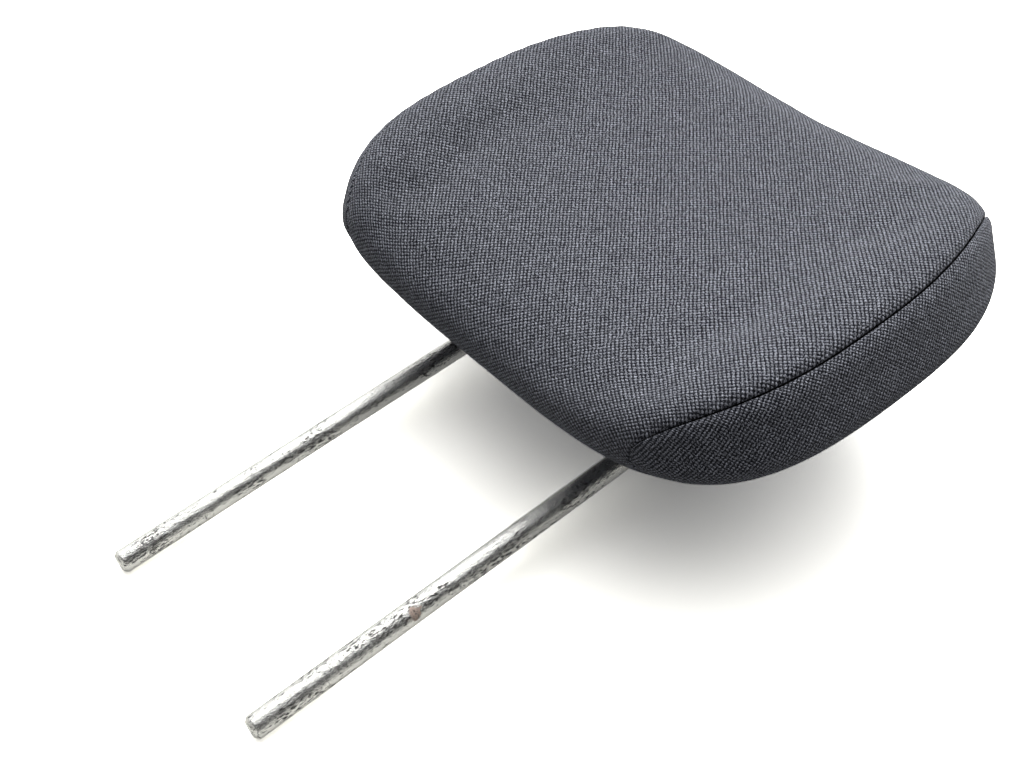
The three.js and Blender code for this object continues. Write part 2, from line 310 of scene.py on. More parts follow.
@dataclass(frozen=True)
class BirdseyeCloth:
    """Fine birdseye weave: light threads with staggered dark pin dots between them."""

    repeat: float = 2.2
    light_thread: Colour = (0.437, 0.454, 0.52)
    dark_thread: Colour = (0.005, 0.006, 0.014)
    waver: float = 0.7
    waver_scale: float = 0.16
    rising_rows: float = 0.26
    falling_rows: float = 0.19
    pin_dots: float = 0.12
    unevenness: float = 0.12
    strand_scale: float = 1.9
    strand_depth: float = 2.2
    edges: tuple[float, float] = (0.4, 0.7)
    sheen: float = 0.28
    glint_cell: float = 0.5
    glint_depth: float = 1.1
    relief: float = 0.0008

    def build(self, name: str, repeat_share: float = 1.0) -> bpy.types.Material:
        """Builds the cloth on a piece's own UV map, which is in metres.

        Args:
            name: The material's name.
            repeat_share: How large the weave is, as a share of its usual size.

        Returns:
            The material.
        """
        g = Graph.for_material(name)
        cloth = g.add("ShaderNodeUVMap", uv_map=CLOTH_MAP).outputs["UV"]
        place = g.scaled(cloth, 1.0 / MM)
        drift = g.add(
            "ShaderNodeTexNoise", {"Vector": place, "Scale": self.waver_scale, "Detail": 1.0}
        )
        centred = g.vector("SUBTRACT", drift.outputs["Color"], (0.5, 0.5, 0.5))
        wavy = g.vector("ADD", place, g.scaled(centred, self.waver))
        parts = g.add("ShaderNodeSeparateXYZ", {0: wavy})
        pitch = 1.0 / (self.repeat * repeat_share)
        across, along = parts.outputs["X"], parts.outputs["Y"]
        rising = g.math("MULTIPLY", g.math("ADD", across, along), pitch)
        falling = g.math("MULTIPLY", g.math("SUBTRACT", across, along), pitch)
        waves = [
            g.math("COSINE", g.math("MULTIPLY", way, 2.0 * math.pi)) for way in (rising, falling)
        ]
        rows = g.math("MULTIPLY_ADD", waves[0], self.rising_rows, 0.5)
        rows = g.math("MULTIPLY_ADD", waves[1], self.falling_rows, rows)
        knots = g.math("MULTIPLY_ADD", g.math("MULTIPLY", *waves), self.pin_dots, rows)
        cell = g.add(
            "ShaderNodeCombineXYZ", {0: g.math("ROUND", rising), 1: g.math("ROUND", falling)}
        ).outputs[0]
        odd = g.add("ShaderNodeTexWhiteNoise", {"Vector": cell}).outputs["Value"]
        uneven = g.math("MULTIPLY_ADD", g.math("SUBTRACT", odd, 0.5), self.unevenness, knots)
        strand = g.noise(place, self.strand_scale, detail=1.0, roughness=0.6)
        thread = g.math("MULTIPLY_ADD", g.math("SUBTRACT", strand, 0.5), self.strand_depth, uneven)
        colour = g.blend(g.between(thread, *self.edges), self.dark_thread, self.light_thread)
        fibre = g.vector("FLOOR", g.scaled(place, 1.0 / self.glint_cell))
        glint = g.add("ShaderNodeTexWhiteNoise", {"Vector": fibre}).outputs["Value"]
        tone = g.math("MULTIPLY_ADD", glint, self.glint_depth, 1.0 - self.glint_depth / 2.0)
        height = g.math("MULTIPLY_ADD", strand, 0.35, g.math("MULTIPLY", knots, 0.65))
        return g.principled(
            {
                "Base Color": g.scaled(colour, tone),
                "Roughness": 0.92,
                "Specular IOR Level": 0.25,
                "Sheen Weight": self.sheen,
                "Sheen Roughness": 0.45,
                "Sheen Tint": (0.92, 0.93, 1.0, 1.0),
                "Normal": g.bump(height, self.relief, 1.0),
            }
        )


@dataclass(frozen=True)
class WornZinc:
    """Bright zinc plating on steel bar, scratched and pitted, with one small patch of rust."""

    bright: Colour = (0.86, 0.86, 0.83)
    pitted: Colour = (0.1, 0.1, 0.095)
    rust: Colour = (0.78, 0.62, 0.53)
    rust_specks: Colour = (0.13, 0.09, 0.08)
    rust_radius: float = 0.0029
    flake_scale: float = 1400.0
    spangle_scale: float = 2000.0
    crowding_scale: float = 110.0
    dent_scale: float = 330.0
    relief: float = 0.0006

    def build(self, name: str, rust_at: Sequence[float]) -> bpy.types.Material:
        """Builds the plating on Object coordinates.

        Args:
            name: The material's name.
            rust_at: The middle of the rust, in metres.

        Returns:
            The material.
        """
        g = Graph.for_material(name)
        place = g.add("ShaderNodeTexCoord").outputs["Object"]
        drawn = g.add(
            "ShaderNodeMapping", {"Vector": place, "Scale": (1.0, 0.3, 1.0)}
        ).outputs[0]
        flakes = g.noise(drawn, self.flake_scale, detail=3.0, roughness=0.75)
        spangle = g.noise(place, self.spangle_scale, detail=2.0, roughness=0.7)
        patches = g.noise(drawn, self.crowding_scale, detail=3.0, roughness=0.6)
        crowding = g.between(patches, 0.4, 0.6)
        limit = g.math("MULTIPLY_ADD", crowding, -0.1, 0.61)
        pits = g.between(g.math("SUBTRACT", flakes, limit), 0.0, 0.02)
        metal = g.blend(pits, self.bright, self.pitted)
        away = g.vector("DISTANCE", place, tuple(rust_at), out="Value")
        ragged = g.math(
            "MULTIPLY_ADD", g.noise(place, 420.0, detail=4.0), 2.0 * self.rust_radius, away
        )
        rusty = g.math(
            "SUBTRACT", 1.0, g.between(ragged, self.rust_radius * 1.7, self.rust_radius * 2.1)
        )
        specks = g.between(g.noise(place, 1300.0, detail=2.0), 0.58, 0.62)
        stain = g.blend(specks, self.rust, self.rust_specks)
        roughness = g.math("MULTIPLY_ADD", pits, 0.3, g.math("MULTIPLY_ADD", spangle, 0.2, 0.06))
        dents = g.noise(drawn, self.dent_scale, detail=2.0, roughness=0.6)
        height = g.math("MULTIPLY_ADD", flakes, 0.35, g.math("MULTIPLY", spangle, 0.3))
        height = g.math("MULTIPLY_ADD", dents, 0.5, height)
        return g.principled(
            {
                "Base Color": g.blend(rusty, metal, stain),
                "Metallic": g.math("SUBTRACT", 1.0, rusty),
                "Roughness": g.math("MULTIPLY_ADD", rusty, 0.4, roughness),
                "Normal": g.bump(height, self.relief, 1.0),
            }
        )


@dataclass(frozen=True)
class Moulded:
    """Moulded plastic or foam skin with a fine grain."""

    colour: Colour
    roughness: float
    grain_scale: float
    relief: float

    def build(self, name: str) -> bpy.types.Material:
        """Builds the finish on Object coordinates.

        Args:
            name: The material's name.

        Returns:
            The material.
        """
        g = Graph.for_material(name)
        place = g.add("ShaderNodeTexCoord").outputs["Object"]
        grain = g.noise(place, self.grain_scale, detail=3.0, roughness=0.6)
        tone = g.math("MULTIPLY_ADD", g.noise(place, self.grain_scale / 20.0), 0.3, 0.85)
        return g.principled(
            {
                "Base Color": g.scaled(self.colour, tone),
                "Roughness": g.math("MULTIPLY_ADD", grain, 0.15, self.roughness),
                "Normal": g.bump(grain, self.relief, 0.6),
            }
        )


@dataclass(frozen=True)
class ScrewSteel:
    """Plain zinc-plated screw steel with fine turning marks."""

    colour: Colour = (0.5, 0.51, 0.52)
    roughness: float = 0.3

    def build(self, name: str) -> bpy.types.Material:
        """Builds the finish on Object coordinates.

        Args:
            name: The material's name.

        Returns:
            The material.
        """
        g = Graph.for_material(name)
        place = g.add("ShaderNodeTexCoord").outputs["Object"]
        grain = g.noise(place, 1200.0, detail=2.0)
        return g.principled(
            {
                "Base Color": g.blend(grain, self.colour, tuple(0.8 * c for c in self.colour)),
                "Metallic": 1.0,
                "Roughness": g.math("MULTIPLY_ADD", grain, 0.15, self.roughness),
                "Normal": g.bump(grain, 0.00003, 0.5),
            }
        )


# Mesh building


def crowded_steps(length: float, base: float, near: list[tuple[float, float, float]]) -> np.ndarray:
    """Positions from 0 to length, closer together near some places.

    Args:
        length: The full length.
        base: The usual spacing.
        near: (place, spacing there, reach) for each place where they crowd.

    Returns:
        The positions, which start at 0 and end at length.
    """
    fine = np.linspace(0.0, length, 6000)
    spacing = np.full_like(fine, base)
    for place, least, reach in near:
        share = np.clip(np.abs(fine - place) / reach, 0.0, 1.0)
        spacing = np.minimum(spacing, least + (base - least) * share**1.3)
    count = np.concatenate([[0.0], np.cumsum(np.diff(fine) / spacing[:-1])])
    steps = int(math.ceil(count[-1]))
    return np.interp(np.linspace(0.0, count[-1], steps + 1), count, fine)


def eased(share: Any) -> Any:
    """Goes smoothly from 0 to 1 as a share does.

    Args:
        share: The share, as a number or an array.

    Returns:
        The eased share.
    """
    kept = np.clip(share, 0.0, 1.0)
    return kept * kept * (3.0 - 2.0 * kept)


def line_length(line: np.ndarray) -> float:
    """Length of a polyline.

    Args:
        line: (n, 3) points.

    Returns:
        The length.
    """
    return float(np.linalg.norm(np.diff(line, axis=0), axis=1).sum())


def along_line(line: np.ndarray, places: np.ndarray) -> np.ndarray:
    """Points at given lengths along a polyline.

    Args:
        line: (n, 3) points.
        places: Lengths from its start.

    Returns:
        (len(places), 3) points.
    """
    step = np.linalg.norm(np.diff(line, axis=0), axis=1)
    length = np.concatenate([[0.0], np.cumsum(step)])
    return np.stack([np.interp(places, length, line[:, k]) for k in range(3)], axis=-1)


def grid_normals(grid: np.ndarray, outside: np.ndarray) -> np.ndarray:
    """Unit normals of a grid of points, pointing away from a point inside it.

    Args:
        grid: (a, b, 3) points.
        outside: (a, b, 3) rough outward directions.

    Returns:
        (a, b, 3) unit normals.
    """
    first = np.gradient(grid, axis=0)
    second = np.gradient(grid, axis=1)
    normal = np.cross(first, second)
    size = np.linalg.norm(normal, axis=-1, keepdims=True)
    rough = outside / np.maximum(np.linalg.norm(outside, axis=-1, keepdims=True), 1e-9)
    normal = np.where(size > 1e-7, normal / np.maximum(size, 1e-9), rough)
    facing = np.sign(np.sum(normal * outside, axis=-1, keepdims=True))
    return normal * np.where(facing == 0.0, 1.0, facing)


def placed(name: str, data: Any) -> bpy.types.Object:
    """Makes an object at the origin and links it to the scene.

    Args:
        name: The object's name.
        data: Its mesh, lamp or camera.

    Returns:
        The object.
    """
    made = bpy.data.objects.new(name, data)
    bpy.context.scene.collection.objects.link(made)
    return made


def formed(name: str, form: bmesh.types.BMesh) -> bpy.types.Object:
    """Makes an object of a BMesh, and frees it.

    Args:
        name: The object's name.
        form: The BMesh.

    Returns:
        The object.
    """
    mesh = bpy.data.meshes.new(name)
    form.to_mesh(mesh)
    form.free()
    return placed(name, mesh)


def grid_faces(rows: int, columns: int, start: int = 0) -> list[tuple[int, ...]]:
    """The faces of a grid of vertices.

    Args:
        rows: Its rows.
        columns: Its columns.
        start: The number of its first vertex.

    Returns:
        Vertex numbers of each face.
    """
    corners = [start + a * columns + b for a in range(rows - 1) for b in range(columns - 1)]
    return [(c, c + columns, c + columns + 1, c + 1) for c in corners]


def nearest_tree(points: np.ndarray) -> KDTree:
    """A tree that finds the nearest of some points.

    Args:
        points: (n, 3) points.

    Returns:
        The tree.
    """
    tree = KDTree(len(points))
    for i, point in enumerate(points):
        tree.insert(Vector(point), i)
    tree.balance()
    return tree


def vertex_places(mesh: bpy.types.Mesh) -> np.ndarray:
    """Places of a mesh's vertices.

    Args:
        mesh: The mesh.

    Returns:
        (n, 3) points.
    """
    places = np.empty(len(mesh.vertices) * 3)
    mesh.vertices.foreach_get("co", places)
    return places.reshape(-1, 3)


def mesh_object(
    name: str, points: np.ndarray, faces: list[tuple[int, ...]], maps: np.ndarray | None = None
) -> bpy.types.Object:
    """Makes a mesh object at the origin, with doubles merged and faces out.

    Args:
        name: The object's name.
        points: (n, 3) vertices in metres.
        faces: Vertex numbers of each face.
        maps: (n, 2) places on the cloth map, if the piece has one.

    Returns:
        The object, linked to the scene.
    """
    mesh = bpy.data.meshes.new(name)
    mesh.from_pydata(points.tolist(), [], faces)
    if maps is not None:
        layer = mesh.uv_layers.new(name=CLOTH_MAP)
        corners = np.empty(len(mesh.loops), dtype=np.int32)
        mesh.loops.foreach_get("vertex_index", corners)
        layer.data.foreach_set("uv", maps[corners].astype(np.float32).ravel())
    form = bmesh.new()
    form.from_mesh(mesh)
    bmesh.ops.remove_doubles(form, verts=form.verts, dist=0.000004)
    bmesh.ops.dissolve_degenerate(form, edges=form.edges, dist=0.000002)
    bmesh.ops.recalc_face_normals(form, faces=form.faces)
    for face in form.faces:
        face.smooth = True
    form.to_mesh(mesh)
    form.free()
    return placed(name, mesh)


def evaluated_copy(source: bpy.types.Object, name: str) -> bpy.types.Object:
    """Turns an object with modifiers into a plain mesh object and removes the source.

    Args:
        source: The object whose modifiers are to be applied.
        name: The new object's name.

    Returns:
        The plain mesh object.
    """
    graph = bpy.context.evaluated_depsgraph_get()
    mesh = bpy.data.meshes.new_from_object(source.evaluated_get(graph))
    bpy.data.objects.remove(source)
    mesh.name = name
    return placed(name, mesh)


def cut_by(piece: bpy.types.Object, tool: bpy.types.Object, name: str) -> bpy.types.Object:
    """Cuts one object's form out of another, and removes both.

    Args:
        piece: What is cut.
        tool: What it is cut by.
        name: The result's name.

    Returns:
        The cut piece as a plain mesh object.
    """
    cut = piece.modifiers.new("cut", "BOOLEAN")
    cut.operation = "DIFFERENCE"
    cut.solver = "EXACT"
    cut.object = tool
    made = evaluated_copy(piece, name)
    bpy.data.objects.remove(tool)
    return made


def dress(piece: bpy.types.Object, material: bpy.types.Material) -> None:
    """Gives a piece one material.

    Args:
        piece: The piece.
        material: Its material.
    """
    piece.data.materials.clear()
    piece.data.materials.append(material)


# The cushion


class Part(Enum):
    """Which panel of the cover a grid of points belongs to."""

    CENTRE = "cover_centre_panel"
    LEFT = "cover_left_gusset"
    RIGHT = "cover_right_gusset"


@dataclass
class CushionForm:
    """The form of the cushion, from the same sizes as the CAD solids."""

    height: float = 235.0
    corner_width: float = 253.2
    side_bow: float = 10.8
    end_hollow: float = 11.3
    top_corner: float = 0.68
    bottom_corner: float = 0.527
    belt_height: float = 50.4
    front_depth: float = 22.2
    back_depth: float = 36.0
    back_fullness: float = 36.0
    side_rise: float = 13.9
    end_rise: float = 3.8
    front_roundness: tuple[float, float, float] = (0.607, 0.786, 0.568)
    back_roundness: tuple[float, float, float] = (0.778, 1.0, 0.681)
    lean_back_deg: float = 1.66
    rim_rise: float = 8.2
    rim_setback: float = 4.1
    rim_inner_width: float = 30.0
    rim_outer_width: float = 7.5
    rim_fade_powers: tuple[int, int] = (12, 6)
    seam_middle: float = 120.6
    seam_bottom_inset: float = 46.3
    seam_bottom_bend: float = 3.17
    seam_top_inset: float = 36.0
    seam_top_bend: float = 2.23
    edge_crowding: float = 3.5
    line_samples: int = 700
    search_reach: float = 0.56
    halvings: int = 50

    def seam_x(self, y: np.ndarray) -> np.ndarray:
        """Distance of the side seams from the middle plane at a height of the cushion.

        Args:
            y: Heights, in mm.

        Returns:
            The distances.
        """
        share = 2.0 * y / self.height - 1.0
        upper = self.seam_top_inset * np.abs(share) ** self.seam_top_bend
        lower = self.seam_bottom_inset * np.abs(share) ** self.seam_bottom_bend
        return self.seam_middle - np.where(share > 0.0, upper, lower)

    def faces(self, x: np.ndarray, y: np.ndarray) -> tuple[np.ndarray, np.ndarray, np.ndarray]:
        """Front and back surfaces over a point of the outline's plane.

        Args:
            x: Places across.
            y: Places up the cushion.

        Returns:
            Z of the front, Z of the back, and the spread, which is 1 on the belt.
        """
        centred = y - self.height / 2.0
        share = x / (self.corner_width / 2.0)
        rise = centred / (self.height / 2.0 - self.end_hollow * (1.0 - share**2))
        half = self.corner_width / 2.0 + self.side_bow * (1.0 - rise**2)
        upper = centred > 0.0
        power = np.where(upper, self.top_corner, self.bottom_corner)
        wide = (np.abs(x) / half) ** (2.0 / power)
        tall = np.abs(rise) ** (2.0 / power)
        total = np.maximum(wide + tall, 1e-12)
        spread = total ** (power / 2.0)
        sideways = wide / total
        curl = self.side_rise * share**2
        curl = curl + self.end_rise * np.abs(2.0 * centred / self.height) ** 3
        heights = []
        for side, bottom, top in (self.front_roundness, self.back_roundness):
            end = np.where(upper, top, bottom)
            roundness = side * sideways + end * (1.0 - sideways)
            inside = 1.0 - np.minimum(1.0, spread) ** (2.0 / roundness)
            heights.append(np.maximum(inside, 0.0) ** (roundness / 2.0))
        beyond = np.abs(x) - (self.seam_x(y) - self.rim_setback)
        width = np.where(beyond < 0.0, self.rim_inner_width, self.rim_outer_width)
        at_belt, at_end = self.rim_fade_powers
        belt_fade = np.sqrt(1.0 - np.minimum(1.0, spread) ** at_belt)
        end_fade = 1.0 - np.minimum(1.0, np.abs(2.0 * centred / self.height)) ** at_end
        rim = self.rim_rise * np.exp(-((beyond / width) ** 2)) * belt_fade * end_fade
        front = self.belt_height + curl + self.front_depth * heights[0] + rim
        fullness = self.back_fullness * np.maximum(1.0 - spread**4, 0.0) ** 3
        back = self.belt_height + curl * spread**2 - self.back_depth * heights[1] - fullness
        return front, back, spread

    def belt_y(self, x_at: Callable[[np.ndarray], np.ndarray], upper: bool) -> float:
        """Where a line x = x_at(y) reaches the belt.

        Args:
            x_at: The line.
            upper: Whether the top end is wanted, and not the bottom one.

        Returns:
            The height.
        """
        near = self.height / 2.0
        far = near + (self.search_reach if upper else -self.search_reach) * self.height
        for _ in range(self.halvings):
            y = (near + far) / 2.0
            at = np.array([y])
            spread = float(self.faces(x_at(at), at)[2][0])
            near, far = (y, far) if spread < 1.0 else (near, y)
        return near

    def outline_x(self, y: np.ndarray) -> np.ndarray:
        """Half width of the belt at each height, found by halving.

        Args:
            y: Heights.

        Returns:
            The half widths.
        """
        near, far = np.zeros_like(y), np.full_like(y, self.corner_width)
        for _ in range(self.halvings):
            x = (near + far) / 2.0
            inside = self.faces(x, y)[2] < 1.0
            near, far = np.where(inside, x, near), np.where(inside, far, x)
        return near

    def end_to_end(self, low: float, high: float) -> np.ndarray:
        """Heights from one end to the other, very close together at both ends.

        Args:
            low: The lower end.
            high: The upper end.

        Returns:
            The heights.
        """
        middle = self.height / 2.0
        share = 1.0 - np.linspace(1.0, 0.0, self.line_samples) ** self.edge_crowding
        below = middle + (low - middle) * share
        above = middle + (high - middle) * share
        return np.concatenate([below[::-1], above[1:]])

    def lean(self, points: np.ndarray) -> np.ndarray:
        """Leans points back about the X axis, as the whole cushion does.

        Args:
            points: (…, 3) points.

        Returns:
            The leaned points.
        """
        angle = math.radians(-self.lean_back_deg)
        cos, sin = math.cos(angle), math.sin(angle)
        y, z = points[..., 1], points[..., 2]
        return np.stack([points[..., 0], y * cos - z * sin, y * sin + z * cos], axis=-1)

    def wrap_line(self, share: float, edge_gap: float) -> tuple[np.ndarray, np.ndarray]:
        """The closed line round the cushion at a share of the way to the side seams.

        Args:
            share: From -1, the left seam, to 1, the right seam.
            edge_gap: How far the outermost lines stay inside the seam.

        Returns:
            Points up the front and points down the back.
        """

        def x_at(y: np.ndarray) -> np.ndarray:
            return share * (self.seam_x(y) - edge_gap)

        y = self.end_to_end(self.belt_y(x_at, False), self.belt_y(x_at, True))
        x = x_at(y)
        front, back, _ = self.faces(x, y)
        ahead = self.lean(np.stack([x, y, front], axis=-1))
        behind = self.lean(np.stack([x, y, back], axis=-1))[::-1]
        return ahead, behind


@dataclass
class PostHoles:
    """Where the posts come out of the cover."""

    spacing: float = 102.0
    bar_radius: float = 5.0
    ease: float = 0.25
    pucker_depth: float = 1.3
    pucker_reach: float = 2.6
    pucker_below: float = 100.0
    drill_sides: int = 48
    drill_middle: float = 20.0
    drill_length: float = 90.0

    def pucker(self, points: np.ndarray) -> np.ndarray:
        """How far the cover is drawn in round the posts.

        Args:
            points: (…, 3) points in the own frame.

        Returns:
            Depths in mm.
        """
        depth = np.zeros(points.shape[:-1])
        for side in (-1.0, 1.0):
            gap = np.hypot(points[..., 0] - side * self.spacing / 2.0, points[..., 2])
            beyond = np.maximum(gap - self.bar_radius, 0.0)
            depth += self.pucker_depth * np.exp(-((beyond / self.pucker_reach) ** 2))
        return depth * (points[..., 1] < self.pucker_below)

    def drills(self, place: LyingPlace) -> bpy.types.Object:
        """Two rods that cut the holes.

        Args:
            place: Where the headrest lies.

        Returns:
            An object that holds both rods.
        """
        form = bmesh.new()
        radius = (self.bar_radius + self.ease) * MM
        for side in (-1.0, 1.0):
            middle = Vector((side * self.spacing / 2.0, self.drill_middle, 0.0)) * MM
            along = Matrix.Translation(middle) @ Matrix.Rotation(math.pi / 2.0, 4, "X")
            bmesh.ops.create_cone(
                form,
                cap_ends=True,
                segments=self.drill_sides,
                radius1=radius,
                radius2=radius,
                depth=self.drill_length * MM,
                matrix=place.matrix() @ along,
            )
        return formed("post_drills", form)


@dataclass
class FoamPad:
    """The moulded foam body, blown up a little by a cloth simulation and cut out for the core."""

    form: CushionForm
    place: LyingPlace
    inset: float = 3.5
    face_inset: float = 5.5
    side_inset: float = 9.0
    side_fade: float = 14.0
    half_thickness: float = 48.0
    blank_cells: tuple[int, int] = (61, 81)
    voxel: float = 5.0
    pressure: float = 4.0
    frames: int = 20
    quality: int = 6
    stretch_stiffness: float = 40.0
    bending_stiffness: float = 8.0
    cap: float = 2.4
    tack_reach: float = 6.5
    floor_reach: float = 2.0
    smoothing: float = 6.0
    neighbours: int = 10
    pocket_low: tuple[float, float, float] = (-63.5, -30.0, -9.6)
    pocket_high: tuple[float, float, float] = (63.5, 149.6, 23.5)
    rest: np.ndarray = field(default_factory=lambda: np.zeros((0, 3)))
    swell: np.ndarray = field(default_factory=lambda: np.zeros(0))

    def blank(self) -> bpy.types.Object:
        """A closed mesh of the cushion's form, drawn in by the inset.

        Returns:
            The object.
        """
        shares = np.meshgrid(*(np.linspace(-1.0, 1.0, n) for n in self.blank_cells))
        across, up = (np.sin(share * math.pi / 2.0) for share in shares)
        disc_x = across * np.sqrt(1.0 - up**2 / 2.0)
        disc_y = up * np.sqrt(1.0 - across**2 / 2.0)
        radius = np.clip(np.hypot(disc_x, disc_y), 1e-9, 1.0)
        turn = np.arctan2(disc_y, disc_x)
        both = [self.shaped(turn, radius, front).reshape(-1, 3) for front in (True, False)]
        faces = grid_faces(*turn.shape) + grid_faces(*turn.shape, start=turn.size)
        return mesh_object("foam_blank", self.place.to_row(np.concatenate(both)), faces)

    def shaped(self, turn: np.ndarray, radius: np.ndarray, front: bool) -> np.ndarray:
        """Points of the form at a direction and a share of the way out to the belt.

        Args:
            turn: Directions from the middle, in radians.
            radius: Shares, from 0 to 1.
            front: Whether the front surface is wanted.

        Returns:
            The points, in the own frame.
        """
        form = self.form
        power = np.where(np.sin(turn) > 0.0, form.top_corner, form.bottom_corner)
        spread = 1.0 - (1.0 - radius) ** 2
        rise = np.sign(np.sin(turn)) * np.abs(np.sin(turn)) ** power * spread
        half = form.corner_width / 2.0 + form.side_bow * (1.0 - rise**2)
        x = half * np.sign(np.cos(turn)) * np.abs(np.cos(turn)) ** power * spread
        share = x / (form.corner_width / 2.0)
        y = rise * (form.height / 2.0 - form.end_hollow * (1.0 - share**2)) + form.height / 2.0
        ahead, behind, _ = form.faces(x, y)
        z = np.where(radius > 0.9999, (ahead + behind) / 2.0, ahead if front else behind)
        return form.lean(self.drawn_in(np.stack([x, y, z], axis=-1)))

    def drawn_in(self, points: np.ndarray) -> np.ndarray:
        """Moves points of the form's surface in to the foam's, further beyond the side seams.

        Args:
            points: (…, 3) points.

        Returns:
            The moved points.
        """
        form = self.form
        middle = np.array([0.0, form.height / 2.0, form.belt_height])
        size = np.array([form.corner_width / 2.0, form.height / 2.0, self.half_thickness])
        inset = np.array([self.inset, self.inset, self.face_inset])
        moved = middle + (points - middle) * (1.0 - inset / size)
        seam = form.seam_x(np.clip(points[..., 1], 0.0, form.height)) - form.rim_setback
        shift = self.side_inset * eased((np.abs(points[..., 0]) - seam) / self.side_fade)
        moved[..., 0] -= np.sign(moved[..., 0]) * shift
        return moved

    def simulate(self, tacks: np.ndarray) -> bpy.types.Object:
        """Remeshes the blank evenly and lets cloth under pressure settle between the seams.

        Args:
            tacks: (n, 3) points on the seams, in the part's frame, where the cover is held.

        Returns:
            The settled foam as a plain mesh.
        """
        blank = self.blank()
        remesh = blank.modifiers.new("even", "REMESH")
        remesh.mode = "VOXEL"
        remesh.voxel_size = self.voxel * MM
        remesh.use_smooth_shade = True
        soft = evaluated_copy(blank, "foam_pad_form")
        rest = vertex_places(soft.data)
        normals = np.array([v.normal for v in soft.data.vertices])
        swell = self.settle(soft, rest, normals, tacks)
        self.rest, self.swell = rest, swell
        moved = rest + normals * swell[:, None]
        moved[:, 2] = np.maximum(moved[:, 2], self.inset * MM)
        soft.data.vertices.foreach_set("co", moved.ravel())
        soft.data.update()
        return soft

    def settle(
        self, soft: bpy.types.Object, rest: np.ndarray, normals: np.ndarray, tacks: np.ndarray
    ) -> np.ndarray:
        """Runs the cloth and reads how far each point moved outwards.

        Args:
            soft: The even mesh.
            rest: Its points.
            normals: Its normals.
            tacks: Where the cover is held.

        Returns:
            Moves along the normals, in metres, with a mean of zero.
        """
        tree = nearest_tree(tacks)
        held = soft.vertex_groups.new(name="held")
        reach, floor_level = self.tack_reach * MM, (self.inset + self.floor_reach) * MM
        for i, point in enumerate(rest):
            if tree.find(Vector(point))[2] < reach or point[2] < floor_level:
                held.add([i], 1.0, "REPLACE")
        cloth = soft.modifiers.new("settle", "CLOTH")
        settings = cloth.settings
        settings.use_pressure = True
        settings.uniform_pressure_force = self.pressure
        settings.vertex_group_mass = "held"
        settings.effector_weights.gravity = 0.0
        settings.quality = self.quality
        settings.tension_stiffness = settings.compression_stiffness = self.stretch_stiffness
        settings.bending_stiffness = self.bending_stiffness
        cloth.collision_settings.use_collision = False
        cloth.point_cache.frame_end = self.frames
        scene = bpy.context.scene
        for frame_number in range(1, self.frames + 1):
            scene.frame_set(frame_number)
        evaluated = soft.evaluated_get(bpy.context.evaluated_depsgraph_get())
        settled = vertex_places(evaluated.data)
        soft.modifiers.remove(cloth)
        soft.vertex_groups.remove(held)
        scene.frame_set(1)
        moved = np.sum((settled - rest) * normals, axis=1)
        LOG.info("cloth moved %.2f to %.2f mm", moved.min() / MM, moved.max() / MM)
        moved = np.nan_to_num(moved)
        moved = self.cap * MM * np.tanh(moved / (self.cap * MM))
        return moved - moved.mean()

    def swell_at(self, points: np.ndarray) -> np.ndarray:
        """How far the cover stands out over the settled foam.

        Args:
            points: (n, 3) points in the part's frame.

        Returns:
            Moves along the surface's normal, in metres.
        """
        if not self.swell.any():
            return np.zeros(len(points))
        tree = nearest_tree(self.rest)
        width = self.smoothing * MM
        moves = np.empty(len(points))
        for n, point in enumerate(points):
            found = tree.find_n(Vector(point), self.neighbours)
            nearest = found[0][2]
            weights = [math.exp(-(((d - nearest) / width) ** 2)) for _, _, d in found]
            total = sum(w * self.swell[i] for w, (_, i, _) in zip(weights, found))
            moves[n] = total / sum(weights)
        return moves

    def finish(self, soft: bpy.types.Object) -> bpy.types.Object:
        """Cuts the pocket for the core out of the foam.

        Args:
            soft: The settled foam.

        Returns:
            The finished foam.
        """
        low, high = np.array(self.pocket_low), np.array(self.pocket_high)
        form = bmesh.new()
        bmesh.ops.create_cube(form, size=1.0)
        for vertex in form.verts:
            corner = (low + high) / 2.0 + np.array(vertex.co) * (high - low)
            vertex.co = self.place.to_row(corner)
        bmesh.ops.bevel(
            form, geom=form.edges[:], offset=0.004, segments=2, profile=0.5, affect="EDGES"
        )
        return cut_by(soft, formed("core_pocket", form), "foam_body")


